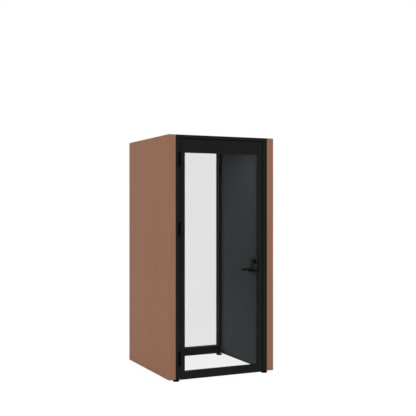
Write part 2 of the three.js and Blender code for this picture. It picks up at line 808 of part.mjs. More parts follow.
function outsideCover() {
  const ys = [caseFrontY, doorGlassY[0] - seam];
  const roseY = [caseFrontY - roseHeight, caseFrontY + 1];
  const rose = rodAlongY(lockX, leverZ, roseRadius, roseY, fineSides);
  const cylinderBore = rodAlongY(lockX, cylinderZ, cylinderCoreRadius + seam, grow(ys, 1), fineSides);
  const bore = leverBore([roseY[0] - 1, ys[1] + 1]);
  return cut(join(caseBlank(ys), rose), lockBodySeat(), cylinderBore, bore);
}

function insideCover() {
  const ys = [doorGlassY[1] + seam, caseBackY];
  const roseY = [caseBackY - 1, caseBackY + roseHeight];
  const rose = rodAlongY(lockX, leverZ, roseRadius, roseY, fineSides);
  const turnBore = rodAlongY(lockX, cylinderZ, thumbShaftRadius + runningGap, grow(ys, 1));
  const bore = leverBore([ys[0] - 1, roseY[1] + 1]);
  return cut(join(caseBlank(ys), rose), lockBodySeat(), turnBore, bore);
}

// The cylinder's collar stands on the outside cover, and its core fills the cover's bore
function keyCylinder() {
  const coreLength = lockBodyY[0] - seam - (caseFrontY - seam);
  const profile = [
    [0, -coreLength],
    [cylinderCoreRadius, -coreLength],
    [cylinderCoreRadius, 0],
    [cylinderRadius, 0],
    [cylinderRadius, cylinderHeight - 2],
    [cylinderRadius - 2, cylinderHeight],
    [keyPlugRadius, cylinderHeight],
    [keyPlugRadius, cylinderHeight + keyPlugHeight],
    [0, cylinderHeight + keyPlugHeight],
  ];
  return turned(profile).rotateX(Math.PI / 2).translate(lockX, caseFrontY - seam, cylinderZ);
}

function addLock(door) {
  addPart(door, 'lock_body', 'steel', lockBody());
  addPart(door, 'outside_lock_cover', 'frame', outsideCover());
  addPart(door, 'inside_lock_cover', 'frame', insideCover());
  addPart(door, 'key_cylinder', 'hardware', keyCylinder());
}

// Levers: a flat bar with a round end, on a neck that turns in the cover and takes the spindle

const outsideBarY = [caseFrontY - leverStandoff - leverBarThickness, caseFrontY - leverStandoff];
const insideBarY = [caseBackY + leverStandoff, caseBackY + leverStandoff + leverBarThickness];
const outsideNeckY = [outsideBarY[1] - 1, lockBodyY[0] - runningGap];
const insideNeckY = [lockBodyY[1] + runningGap, insideBarY[0] + 1];
const spindleY = [outsideNeckY[1] - spindleSeat, insideNeckY[0] + spindleSeat];

function squareBar(side, ys) {
  const half = side / 2;
  return block([lockX - half, lockX + half], ys, [leverZ - half, leverZ + half]);
}

function lever(barY, neckY) {
  const radius = leverBarHeight / 2;
  const tipX = lockX - leverLength + radius;
  const shape = new THREE.Shape();
  shape.absarc(lockX, leverZ, radius, -Math.PI / 2, Math.PI / 2);
  shape.absarc(tipX, leverZ, radius, Math.PI / 2, Math.PI * 1.5);
  shape.closePath();
  const bar = slabAlongY(shape, barY, 10);
  const neck = rodAlongY(lockX, leverZ, leverNeckRadius, neckY, fineSides);
  return cut(join(bar, neck), squareBar(spindleSide + 2 * seam, grow(spindleY, seam)));
}

function addLever(group) {
  addPart(group, 'outside_lever', 'hardware', lever(outsideBarY, outsideNeckY));
  addPart(group, 'inside_lever', 'hardware', lever(insideBarY, insideNeckY));
  addPart(group, 'lever_spindle', 'steel', squareBar(spindleSide, spindleY));
}

// The latch is flat on the side that holds the door, and bevelled where it meets the strike
function latchBolt() {
  const tailX = channelX[0] + latchThrow + seam;
  const tipX = doorLockX + latchThrow;
  const shape = outline([
    [tailX, boltY[0]],
    [tipX, boltY[0]],
    [tipX, boltY[0] + boltThickness - latchBevel],
    [tipX - latchBevel, boltY[1]],
    [tailX, boltY[1]],
  ]);
  return slabAlongZ(shape, latchZ);
}

function deadbolt() {
  return block([channelX[0] + seam, doorLockX - deadboltSetback], boltY, deadboltZ);
}

function thumbTurn() {
  const flangeY = [caseBackY + runningGap, caseBackY + runningGap + thumbFlangeHeight];
  const bladeY = [flangeY[1] - 1, flangeY[1] + thumbBladeHeight];
  const bladeX = [lockX - thumbBladeThickness / 2, lockX + thumbBladeThickness / 2];
  const bladeZ = [cylinderZ - thumbBladeLength / 2, cylinderZ + thumbBladeLength / 2];
  const shaft = rodAlongY(lockX, cylinderZ, thumbShaftRadius, [lockBodyY[1] - thumbShaftSeat, flangeY[1]]);
  const flange = rodAlongY(lockX, cylinderZ, thumbFlangeRadius, flangeY, fineSides);
  const blade = slabAlongY(roundedRectangle(bladeX, bladeZ, thumbBladeThickness / 2 - 1), bladeY, 4);
  return join(shaft, flange, blade);
}

// A levelling foot: a pad on the floor, an adjusting nut and a stud that turns in the post above
function levellingFoot() {
  const neckTop = groundClearance - footNutHeight - 1;
  const body = turned([
    [0, 0],
    [footPadRadius - 1, 0],
    [footPadRadius, 1],
    [footPadRadius, footRimHeight],
    [footNeckRadius + 2, footPadHeight],
    [footNeckRadius, neckTop],
    [studRadius, neckTop],
    [studRadius, groundClearance + studReach],
    [0, groundClearance + studReach],
  ]);
  const nut = rodAlongZ(0, 0, footNutRadius, [neckTop - 1, neckTop + footNutHeight], 6);
  return join(body, nut);
}

function addFeet(pod) {
  for (const [row, y] of Object.entries(footY)) {
    for (const { word, sign } of sides) {
      addPart(pod, `${row}_${word}_foot`, 'hardware', levellingFoot(), [sign * footX, y, 0]);
    }
  }
}

// Assembly: the groups follow what moves together

function buildPod() {
  const pod = new THREE.Group();
  const cabin = new THREE.Group();
  const door = new THREE.Group();
  const leverSet = new THREE.Group();
  addWalls(cabin);
  addFrontFrame(cabin);
  addRearFrame(cabin);
  addRoof(cabin);
  addHinges(cabin, door);
  addDoorFrame(door);
  addLock(door);
  addLever(leverSet);
  door.add(leverSet);
  addPart(door, 'latch_bolt', 'steel', latchBolt());
  addPart(door, 'deadbolt', 'steel', deadbolt());
  addPart(door, 'thumb_turn', 'hardware', thumbTurn());
  addPart(cabin, 'fan_rotor', 'plastic', fanRotor());
  pod.add(cabin, door);
  addFeet(pod);
  return pod;
}

// The outside lever reaches past the front, so the pod moves back to keep its middle on the origin
const pod = new THREE.Group();
const assembly = buildPod();
assembly.position.y = leverProjection / 2;
pod.add(assembly);

export default pod;
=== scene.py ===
"""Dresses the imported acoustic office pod: finishes, softened edges, seals, hardware, fasteners and a studio stage."""

import json
import math

import bmesh
import bpy
from bpy.props import FloatProperty, FloatVectorProperty, IntProperty, PointerProperty
from mathutils import Matrix, Vector


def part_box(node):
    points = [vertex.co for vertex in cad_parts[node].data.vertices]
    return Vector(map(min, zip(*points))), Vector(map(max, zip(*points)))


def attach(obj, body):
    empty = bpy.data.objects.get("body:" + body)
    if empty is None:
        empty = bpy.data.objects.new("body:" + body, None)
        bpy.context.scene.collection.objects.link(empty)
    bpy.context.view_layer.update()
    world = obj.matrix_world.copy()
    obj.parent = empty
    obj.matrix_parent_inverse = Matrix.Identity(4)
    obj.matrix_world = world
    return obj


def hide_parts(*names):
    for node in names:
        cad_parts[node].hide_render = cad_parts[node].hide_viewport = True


bl_info = {
    "name": "Acoustic Office Pod",
    "version": (1, 0, 0),
    "blender": (4, 5, 0),
    "location": "View3D > Sidebar > Pod",
    "description": "Dresses an acoustic office pod for one person and sets it on a studio stage",
    "category": "Object",
}

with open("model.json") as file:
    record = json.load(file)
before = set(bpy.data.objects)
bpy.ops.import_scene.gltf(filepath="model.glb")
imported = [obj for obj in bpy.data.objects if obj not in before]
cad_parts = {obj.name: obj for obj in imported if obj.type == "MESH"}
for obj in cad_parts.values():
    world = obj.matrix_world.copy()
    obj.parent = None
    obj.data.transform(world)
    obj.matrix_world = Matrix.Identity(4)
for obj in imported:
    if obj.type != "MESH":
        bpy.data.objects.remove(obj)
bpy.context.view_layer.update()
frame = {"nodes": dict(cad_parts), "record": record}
RECORD = frame["record"]
BODY_OF = {node: body for body, nodes in RECORD["behaviour"]["bodies"].items() for node in nodes}
HINGES = ("upper", "middle", "lower")
SIDES = ("left", "right")
FEET = tuple(f"{row}_{side}_foot" for row in ("front", "rear") for side in SIDES)
MERGE_DISTANCE = 1e-5
MM = 0.001
LIGHT_STRENGTH = 46.0


def from_srgb(red, green, blue):
    """Scene-linear colour of an 8-bit display colour."""
    shares = (value / 255 for value in (red, green, blue))
    return tuple(v / 12.92 if v <= 0.04045 else ((v + 0.055) / 1.055) ** 2.4 for v in shares)


def colour_property(label, words, red, green, blue):
    return FloatVectorProperty(
        name=label, description=words, subtype="COLOR", size=3, min=0, max=1, default=from_srgb(red, green, blue)
    )


def length_property(label, words, millimetres):
    return FloatProperty(name=label, description=words, default=millimetres * MM, min=0, unit="LENGTH", precision=4)


class PodColours(bpy.types.PropertyGroup):
    """Colours of the pod's finishes."""

    laminate: colour_property("Laminate", "Mean colour of the brown wood-grain laminate", 140, 102, 81)
    frame: colour_property("Frame", "Powder coat of the jambs, rails, posts and stiles", 18, 18, 18)
    lock_case: colour_property("Lock case", "Satin coat of the lock covers", 32, 32, 32)
    hardware: colour_property("Hardware", "Satin black of levers, turn and screws", 6, 6, 7)
    # Half of this black, without gloss, is painted shade in gaps, the felt recess and the key cylinder's collar.
    deep_black: colour_property("Deep black", "Matt black of hinge barrels, cylinder collar and feet", 4, 4, 4)
    felt: colour_property("Felt", "Mean colour of the pressed wool felt", 43, 50, 52)
    roof: colour_property("Roof", "Facing of the roof board", 40, 40, 41)
    plastic: colour_property("Plastic", "Moulded plastic of the fan, grilles and light", 26, 27, 28)
    rubber: colour_property("Rubber", "Seals, sweep and foot soles", 7, 7, 7)
    glazing_rubber: colour_property("Glazing rubber", "Channels that hold the panes", 36, 36, 36)
    steel: colour_property("Steel", "Brushed steel of bolts, strike and pins", 176, 178, 182)
    diffuser: colour_property("Diffuser", "Opal cover of the ceiling light", 236, 234, 227)
    core: colour_property("Core", "Fibre batt inside the walls", 183, 166, 124)
    floor: colour_property("Floor", "Studio floor", 245, 245, 245)


class PodSizes(bpy.types.PropertyGroup):
    """Sizes of the details that dress the pod."""

    wall_edge: length_property("Wall edge", "Radius along the edges of the laminated walls", 1.5)
    frame_edge: length_property("Frame edge", "Radius along the edges of the black bars", 0.6)
    mortise_edge: length_property("Mortise edge", "Radius along the edges of the stile that holds the lock", 0.35)
    felt_edge: length_property("Felt edge", "Radius along the edges of the felt", 2.5)
    plate_edge: length_property("Plate edge", "Radius along the edges of covers, leaves and grilles", 0.6)
    sweep_droop: length_property("Sweep droop", "How far the soft fins of the door sweep hang below their carrier", 2.5)
    lever_bar: length_property("Lever bar", "Thickness of the lever's flat bar", 11)
    lever_round: length_property("Lever rounding", "Radius along the edges of the lever bar", 2.6)
    screw_head: length_property("Screw head", "Radius of a screw head", 3.4)
    screw_rise: length_property("Screw rise", "Height of a screw head above its plate", 0.8)
    thread_pitch: length_property("Thread pitch", "Pitch of the thread on the levelling studs", 1.75)
    blade_count: IntProperty(name="Blades", description="Blades on the fan rotor", default=7, min=3, max=12)


class PodStage(bpy.types.PropertyGroup):
    """Camera, floor and light."""

    camera_place: FloatVectorProperty(
        name="Camera", description="Where the camera stands", subtype="TRANSLATION", size=3,
        default=(-3.2443, -7.1565, 1.609),
    )
    camera_turn: FloatProperty(
        name="Camera turn", description="Turn of the level camera about the vertical", subtype="ANGLE",
        default=math.radians(-25),
    )
    view_angle: FloatProperty(
        name="View angle", description="Angle across the picture", subtype="ANGLE", default=math.radians(30)
    )
    sky: FloatProperty(name="Sky", description="Strength of the even white surround", default=0.99, min=0)
    key: FloatProperty(name="Key", description="Power of the soft key light, in watts", default=80, min=0)
    back: FloatProperty(name="Back", description="Power of the low light behind the rear pane, in watts", default=26, min=0)
    floor_glow: FloatProperty(
        name="Floor glow", description="Share of the floor's seen white that shade can't darken", default=0.97, min=0
    )
    floor_shade: FloatProperty(
        name="Floor shade", description="Share of the floor's seen white that the pod's shadow takes", default=0.04, min=0
    )
    floor_half: FloatProperty(
        name="Floor half size", description="Half the floor's side", default=40, min=1, unit="LENGTH"
    )


# Shader maths


class Value:
    """A shader socket that joins in Python arithmetic."""

    def __init__(self, finish, socket):
        self.finish = finish
        self.socket = socket

    def maths(self, operation, *values):
        return self.finish.add("ShaderNodeMath", {"operation": operation}, dict(enumerate(values)))

    def __add__(self, other):
        return self.maths("ADD", self, other)

    def __sub__(self, other):
        return self.maths("SUBTRACT", self, other)

    def __rsub__(self, other):
        return self.maths("SUBTRACT", other, self)

    def __mul__(self, other):
        return self.maths("MULTIPLY", self, other)

    __radd__ = __add__
    __rmul__ = __mul__

    def larger(self, other):
        return self.maths("MAXIMUM", self, other)


class Finish:
    """One material, built node by node."""

    def __init__(self, name, owner=None):
        self.owner = owner or bpy.data.materials.new(name)
        self.owner.use_nodes = True
        self.tree = self.owner.node_tree
        self.tree.nodes.clear()

    def feed(self, socket, value):
        if isinstance(value, Value):
            self.tree.links.new(value.socket, socket)
        elif isinstance(value, tuple) and socket.type == "RGBA" and len(value) == 3:
            socket.default_value = (*value, 1)
        else:
            socket.default_value = value

    def add(self, kind, settings=None, sockets=None, out=0):
        node = self.tree.nodes.new(kind)
        for name, value in (settings or {}).items():
            setattr(node, name, value)
        for key, value in (sockets or {}).items():
            self.feed(node.inputs[key], value)
        return Value(self, node.outputs[out])

    def place(self, scale=(1, 1, 1)):
        """The piece's own coordinates, stretched to scale."""
        coordinates = self.add("ShaderNodeTexCoord", out="Object")
        return self.add("ShaderNodeMapping", {}, {"Vector": coordinates, "Scale": scale})

    def noise(self, scale, detail=3.0, roughness=0.5, distortion=0.0):
        """Noise from 0 to 1 whose cells measure 1 / scale on each axis."""
        sockets = {
            "Vector": self.place(scale), "Scale": 1.0, "Detail": detail, "Roughness": roughness,
            "Distortion": distortion,
        }
        return self.add("ShaderNodeTexNoise", {}, sockets)

    def spread(self, value, low, high, to_low=0.0, to_high=1.0):
        sockets = {"Value": value, 1: low, 2: high, 3: to_low, 4: to_high}
        return self.add("ShaderNodeMapRange", {"clamp": True}, sockets)

    def mix(self, share, first, second):
        settings = {"data_type": "RGBA"}
        return self.add("ShaderNodeMix", settings, {0: share, 6: first, 7: second}, out=2)

    def bump(self, height, distance, strength=1.0, below=None):
        sockets = {"Height": height, "Distance": distance, "Strength": strength}
        if below is not None:
            sockets["Normal"] = below
        return self.add("ShaderNodeBump", {}, sockets)

    def surface(self, sockets):
        return self.add("ShaderNodeBsdfPrincipled", {}, sockets)

    def done(self, shader):
        kind = "ShaderNodeOutputWorld" if isinstance(self.owner, bpy.types.World) else "ShaderNodeOutputMaterial"
        self.add_output(kind, shader)
        return self.owner

    def add_output(self, kind, shader):
        node = self.tree.nodes.new(kind)
        self.feed(node.inputs["Surface"], shader)


def scaled(colour, factor):
    return tuple(min(1.0, part * factor) for part in colour)


# Finishes


def laminate_finish(name, colours, axis):
    """Brown wood-grain laminate: straight grain along an axis, fine pores and slow changes of tone."""
    finish = Finish(name)
    base = tuple(colours.laminate)

    def along(across, lengthwise):
        return tuple(lengthwise if number == axis else across for number in range(3))

    fibre = finish.noise(along(310, 4.2), detail=5, roughness=0.62)
    figure = finish.noise(along(64, 1.4), detail=3, distortion=0.5)
    mottle = finish.noise(along(34, 26), detail=3)
    pore = finish.spread(finish.noise(along(950, 16), detail=2), 0.62, 0.74)
    grain = finish.mix(finish.spread(fibre, 0.3, 0.7), scaled(base, 0.86), scaled(base, 1.13))
    warm = (base[0] * 1.15, base[1] * 1.12, base[2] * 1.07)
    dark = (base[0] * 0.85, base[1] * 0.87, base[2] * 0.9)
    tone = finish.mix(finish.spread(figure * 0.8 + mottle * 0.2, 0.32, 0.68), warm, dark)
    toned = finish.mix(0.6, grain, tone)
    colour = finish.mix(pore * 0.28, toned, scaled(base, 0.55))
    height = fibre * 0.5 - pore * 0.6
    return finish.done(finish.surface({
        "Base Color": colour,
        "Roughness": 0.44 + fibre * 0.14 + pore * 0.12,
        "Specular IOR Level": 0.025,
        "Normal": finish.bump(height, 0.12 * MM, 0.55),
    }))


def coat_finish(name, colour, roughness, peel, specular):
    """Black coat with a fine peel, faint cloudiness in its gloss and paler specks."""
    finish = Finish(name)
    cell = 1 / peel
    grains = finish.noise((cell, cell, cell), detail=2)
    clouds = finish.noise((7, 7, 5), detail=4, roughness=0.6)
    shade = finish.mix(finish.spread(clouds, 0.3, 0.7), scaled(colour, 0.88), scaled(colour, 1.12))
    speck = finish.spread(grains, 0.6, 0.8)
    return finish.done(finish.surface({
        "Base Color": finish.mix(speck * 0.35, shade, scaled(colour, 1.7)),
        "Roughness": roughness - 0.06 + clouds * 0.12,
        "Specular IOR Level": specular,
        "Normal": finish.bump(grains, peel * 0.09, 0.35),
    }))


def felt_finish(colours):
    """Pressed wool felt: matted fibres, mottled tone, a soft nap and patchy painted light from the floor, lighter
    towards the bottom.
    """
    finish = Finish("grey_felt")
    base = tuple(colours.felt)
    fibres = finish.noise((850, 850, 850), detail=5, roughness=0.7, distortion=1.6)
    mottle = finish.noise((70, 70, 70), detail=4, roughness=0.6)
    clumps = finish.noise((240, 240, 200), detail=3, distortion=0.8)
    strands = finish.noise((430, 430, 430), detail=3, roughness=0.6, distortion=2.4)
    tone = finish.mix(finish.spread(mottle, 0.3, 0.7), scaled(base, 0.88), scaled(base, 1.12))
    hair = finish.mix(finish.spread(fibres, 0.32, 0.68), scaled(base, 0.4), scaled(base, 1.5))
    heather = finish.mix(finish.spread(strands, 0.4, 0.62), scaled(base, 0.3), scaled(base, 1.75))
    wool = finish.mix(0.5, finish.mix(0.5, tone, hair), heather)
    bumps = finish.bump(clumps, 0.5 * MM, 0.35)
    rise = finish.add("ShaderNodeSeparateXYZ", {}, {0: finish.place()}, out="Z")
    # Painted light: the felt grows patchily lighter towards the floor, standing for light bounced off the floor.
    painted_floor_light = finish.spread(rise, 0.05, 0.95, 0.95, 0.0) * mottle
    return finish.done(finish.surface({
        "Base Color": finish.mix(painted_floor_light, wool, scaled(base, 2.4)),
        "Roughness": 0.9 + mottle * 0.1,
        "Specular IOR Level": 0.08,
        "Sheen Weight": 0.06,
        "Sheen Roughness": 0.6,
        "Normal": finish.bump(fibres, 0.35 * MM, 0.6, bumps),
    }))


def glass_finish(name, coverage):
    """A clear neutral pane: a small share of each face is gloss, which grows and brightens at flat angles."""
    finish = Finish(name)
    clear = finish.add("ShaderNodeBsdfTransparent", {}, {"Color": (1, 1, 1)})
    slant = finish.add("ShaderNodeLayerWeight", {}, {"Blend": 0.5}, out="Facing")
    square = slant * slant
    fourth = square * square
    gloss = finish.surface({
        "Base Color": finish.mix(fourth, (0.041, 0.043, 0.042), (0.9, 0.92, 0.91)),
        "Roughness": 0.02,
        "Metallic": 1.0,
    })
    share = coverage + fourth * slant * (1 - coverage)
    return finish.done(finish.add("ShaderNodeMixShader", {}, {0: share, 1: clear, 2: gloss}))


def steel_finish(colours):
    """Brushed steel with fine upright scratches."""
    finish = Finish("brushed_steel")
    base = tuple(colours.steel)
    scratches = finish.noise((2400, 2400, 40), detail=3, roughness=0.6)
    return finish.done(finish.surface({
        "Base Color": finish.mix(scratches, scaled(base, 0.8), base),
        "Metallic": 1.0,
        "Roughness": 0.24 + scratches * 0.2,
        "Normal": finish.bump(scratches, 0.02 * MM, 0.3),
    }))


def rubber_finish(name, base):
    """Matt black rubber with a dusty bloom."""
    finish = Finish(name)
    grains = finish.noise((1300, 1300, 1300), detail=2)
    bloom = finish.noise((60, 60, 25), detail=4)
    return finish.done(finish.surface({
        "Base Color": finish.mix(finish.spread(bloom, 0.45, 0.8), base, scaled(base, 2.2)),
        "Roughness": 0.72 + bloom * 0.16,
        "Specular IOR Level": 0.12,
        "Normal": finish.bump(grains, 0.06 * MM, 0.4),
    }))


def plastic_finish(name, colour, roughness):
    """Moulded plastic with an eroded texture."""
    finish = Finish(name)
    grains = finish.noise((1100, 1100, 1100), detail=3, roughness=0.6)
    clouds = finish.noise((18, 18, 18), detail=3)
    return finish.done(finish.surface({
        "Base Color": finish.mix(clouds, scaled(colour, 0.9), scaled(colour, 1.1)),
        "Roughness": roughness + grains * 0.12,
        "Specular IOR Level": 0.22,
        "Normal": finish.bump(grains, 0.08 * MM, 0.35),
    }))


def diffuser_finish(colours):
    """Opal sheet with rows of small prisms."""
    finish = Finish("opal_diffuser")
    base = tuple(colours.diffuser)
    cells = finish.add("ShaderNodeTexVoronoi", {"distance": "CHEBYCHEV"}, {
        "Vector": finish.place((330, 330, 330)), "Scale": 1.0, "Randomness": 0.0,
    })
    return finish.done(finish.surface({
        "Base Color": finish.mix(cells, base, scaled(base, 0.9)),
        "Roughness": 0.38 + cells * 0.1,
        "Specular IOR Level": 0.3,
        "Emission Color": finish.mix(cells, base, scaled(base, 0.9)),
        "Emission Strength": LIGHT_STRENGTH,
        "Normal": finish.bump(1 - cells, 0.6 * MM, 0.4),
    }))


def core_finish(colours):
    """Loose fibre batt."""
    finish = Finish("fibre_core")
    base = tuple(colours.core)
    strands = finish.noise((420, 420, 90), detail=5, roughness=0.7, distortion=2.0)
    return finish.done(finish.surface({
        "Base Color": finish.mix(strands, scaled(base, 0.6), scaled(base, 1.2)),
        "Roughness": 0.85 + strands * 0.15,
        "Specular IOR Level": 0.05,
        "Normal": finish.bump(strands, 1.5 * MM, 0.7),
    }))


FINISHES = {
    "brown_laminate": lambda colours: laminate_finish("brown_laminate", colours, 2),
    "laminate_top": lambda colours: laminate_finish("laminate_top", colours, 1),
    "frame_coat": lambda c: coat_finish("frame_coat", tuple(c.frame), 0.5, 1.1 * MM, 0.1),
    "lock_satin": lambda c: coat_finish("lock_satin", tuple(c.lock_case), 0.42, 0.7 * MM, 0.14),
    "hardware_black": lambda c: coat_finish("hardware_black", tuple(c.hardware), 0.38, 0.6 * MM, 0.05),
    "deep_black": lambda c: coat_finish("deep_black", tuple(c.deep_black), 0.45, 0.6 * MM, 0.02),
    # A darker glossless black that is painted shade for gaps, the felt recess and the key cylinder's collar.
    "gap_black": lambda c: coat_finish("gap_black", scaled(tuple(c.deep_black), 0.5), 0.6, 0.6 * MM, 0.0),
    "roof_facing": lambda c: coat_finish("roof_facing", tuple(c.roof), 0.62, 2.2 * MM, 0.12),
    "grey_felt": felt_finish,
    "door_pane": lambda c: glass_finish("door_pane", 0.0685),
    "rear_pane": lambda c: glass_finish("rear_pane", 0.0685),
    "brushed_steel": steel_finish,
    "black_rubber": lambda c: rubber_finish("black_rubber", tuple(c.rubber)),
    "channel_rubber": lambda c: rubber_finish("channel_rubber", tuple(c.glazing_rubber)),
    "moulded_plastic": lambda c: plastic_finish("moulded_plastic", tuple(c.plastic), 0.5),
    "opal_diffuser": diffuser_finish,
    "fibre_core": core_finish,
}


def finish_named(context, name):
    """The material of that name, made the first time it is asked for."""
    return bpy.data.materials.get(name) or FINISHES[name](context.scene.pod_colours)


# Mesh helpers


def new_piece(name, bm, material, smooth_angle=32):
    """A scene object from a bmesh, with faces outward and flat faces shaded flat."""
    bmesh.ops.recalc_face_normals(bm, faces=bm.faces)
    mesh = bpy.data.meshes.new(name)
    bm.to_mesh(mesh)
    bm.free()
    mesh.shade_smooth()
    mesh.set_sharp_from_angle(angle=math.radians(smooth_angle))
    piece = bpy.data.objects.new(name, mesh)
    piece.data.materials.append(material)
    bpy.context.scene.collection.objects.link(piece)
    return piece


def settle(piece):
    """Turns a piece and its modifiers into a plain mesh."""
    weights = piece.modifiers.new("even_shading", "WEIGHTED_NORMAL")
    weights.keep_sharp = True
    graph = bpy.context.evaluated_depsgraph_get()
    mesh = bpy.data.meshes.new_from_object(piece.evaluated_get(graph), preserve_all_data_layers=True, depsgraph=graph)
    raw = piece.data
    piece.modifiers.clear()
    piece.data = mesh
    bpy.data.meshes.remove(raw)
    mesh.name = piece.name
    return piece


def solid_of(node):
    """A merged copy of a CAD node with its flat faces whole again."""
    bm = bmesh.new()
    bm.from_mesh(frame["nodes"][node].data)
    bmesh.ops.remove_doubles(bm, verts=bm.verts, dist=MERGE_DISTANCE)
    bmesh.ops.dissolve_limit(bm, angle_limit=math.radians(0.3), verts=bm.verts, edges=bm.edges)
    return bm


def soften(piece, radius, segments=2):
    """Rounds the piece's sharp edges."""
    bevel = piece.modifiers.new("edge", "BEVEL")
    bevel.width = radius
    bevel.segments = segments
    bevel.limit_method = "ANGLE"
    bevel.angle_limit = math.radians(40)
    bevel.use_clamp_overlap = True
    return settle(piece)


def refinish(context, piece, finish, chosen):
    """Gives the faces that a test picks a second finish. The test sees a face's middle and normal."""
    piece.data.materials.append(finish_named(context, finish))
    index = len(piece.data.materials) - 1
    for face in piece.data.polygons:
        if chosen(face.center, face.normal):
            face.material_index = index


def install(piece, *nodes):
    """The piece stands for those nodes, which are hidden, and moves with their body."""
    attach(piece, BODY_OF[nodes[0]])
    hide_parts(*nodes)
    return piece


def dress(context, node, finish, radius, segments=2):
    """Replaces a CAD node by the same form with softened edges and a finish."""
    piece = new_piece(f"{node}_dressed", solid_of(node), finish_named(context, finish))
    return install(soften(piece, radius, segments), node)


def paint(context, node, finish):
    """Gives a CAD node that stays in view a finish."""
    materials = frame["nodes"][node].data.materials
    materials.clear()
    materials.append(finish_named(context, finish))


UP = (Vector((1, 0, 0)), Vector((0, 1, 0)), Vector((0, 0, 1)))
DOWN = (Vector((-1, 0, 0)), Vector((0, 1, 0)), Vector((0, 0, -1)))
TO_FRONT = (Vector((1, 0, 0)), Vector((0, 0, 1)), Vector((0, -1, 0)))
TO_BACK = (Vector((-1, 0, 0)), Vector((0, 0, 1)), Vector((0, 1, 0)))


def ring_at(outline, height, origin, axes):
    """Places a flat outline at a height along an axis."""
    across, beside, along = axes
    return [origin + across * a + beside * b + along * height for a, b in outline]


def circle(radius, count=48):
    steps = (math.tau * i / count for i in range(count))
    return [(radius * math.cos(t), radius * math.sin(t)) for t in steps]


def hexagon(flat, count=48):
    """A hexagon whose flats stand that far from its middle."""
    points = []
    for i in range(count):
        turn = math.tau * i / count
        reach = flat / math.cos(turn % (math.pi / 3) - math.pi / 6)
        points.append((reach * math.cos(turn), reach * math.sin(turn)))
    return points


def stadium(radius, length, count=24):
    """A bar outline with round ends. The first end's middle is at zero and the bar runs to -length."""
    turns = [math.pi * i / count - math.pi / 2 for i in range(count + 1)]
    near = [(radius * math.cos(t), radius * math.sin(t)) for t in turns]
    far = [(-length - radius * math.cos(t), -radius * math.sin(t)) for t in turns]
    return near + far


def loft(bm, rings):
    """Joins rings of equally many points into one closed skin."""
    rows = [[bm.verts.new(point) for point in ring] for ring in rings]
    for low, high in zip(rows, rows[1:]):
        for i in range(len(low)):
            j = (i + 1) % len(low)
            bm.faces.new((low[i], low[j], high[j], high[i]))
    bm.faces.new(list(reversed(rows[0])))
    bm.faces.new(rows[-1])


def turned(bm, profile, origin, axes, count=48):
    """A turned form from [radius, height] pairs."""
    loft(bm, [ring_at(circle(radius, count), height, origin, axes) for radius, height in profile])


def rounded_rim(radius, low, high, steps=4):
    """Inset and height pairs of a slab from low to high with both rims rounded."""
    arc = [math.pi / 2 * i / steps for i in range(steps + 1)]
    start = [(radius * (1 - math.sin(t)), low + radius * (1 - math.cos(t))) for t in arc]
    return start + [(inset, low + high - height) for inset, height in reversed(start)]


# Pieces


class PodOperator(bpy.types.Operator):
    """Common ground of the pod's operators."""

    bl_options = {"REGISTER", "UNDO"}

    def execute(self, context):
        self.make(context, context.scene.pod_sizes)
        return {"FINISHED"}


class POD_OT_side_walls(PodOperator):
    """Laminated side walls with their felt linings and fibre cores."""

    bl_idname = "pod.side_walls"
    bl_label = "Side walls"

    def make(self, context, sizes):
        for side in SIDES:
            shell = dress(context, f"{side}_wall_shell", "brown_laminate", sizes.wall_edge, 3)
            refinish(context, shell, "laminate_top", lambda middle, way: abs(way.z) > 0.7)
            # The shell's faces round the felt recess take painted shade black.
            refinish(context, shell, "gap_black", self.faces_felt)
            dress(context, f"{side}_felt_lining", "grey_felt", sizes.felt_edge, 3)
            paint(context, f"{side}_wall_core", "fibre_core")

    def faces_felt(self, middle, way):
        """Whether a face belongs to the edges of the recess that holds the felt, which take painted shade."""
        across = Vector((0, way.y, way.z))
        return across.length > 0.3 and across.dot(middle - Vector((0, 0, 1.1))) < 0


class POD_OT_frames(PodOperator):
    """Black bars of the front frame, the door and the rear wall."""

    bl_idname = "pod.frames"
    bl_label = "Frames"

    bars = (
        "front_left_jamb", "front_right_jamb", "front_header", "left_door_stop", "right_door_stop", "top_door_stop",
        "rear_left_post", "rear_right_post", "rear_top_rail", "rear_bottom_rail",
        "door_hinge_stile", "door_top_rail", "door_bottom_rail",
    )

    def make(self, context, sizes):
        dressed = {bar: dress(context, bar, "frame_coat", sizes.frame_edge) for bar in self.bars}
        # The right jamb's gap face, the header's underside and the lock stile's outer edge take painted shade black.
        refinish(context, dressed["front_right_jamb"], "gap_black", lambda middle, way: way.x < -0.9)
        refinish(context, dressed["front_header"], "gap_black", lambda middle, way: way.z < -0.9)
        lock_stile = dress(context, "door_lock_stile", "frame_coat", sizes.mortise_edge)
        refinish(context, lock_stile, "gap_black", lambda middle, way: way.x > 0.9)


class POD_OT_glazing(PodOperator):
    """Door and rear panes with their rubber channels."""

    bl_idname = "pod.glazing"
    bl_label = "Glazing"

    def make(self, context, sizes):
        for place in ("door", "rear"):
            dress(context, f"{place}_glass", f"{place}_pane", sizes.plate_edge, 1)
            dress(context, f"{place}_glazing_gasket", "channel_rubber", sizes.plate_edge)


def extruded(bm, outline, points):
    """Joins copies of a section. Each copy is a function of the section's points."""
    loft(bm, [[place(a, b) for a, b in outline] for place in points])


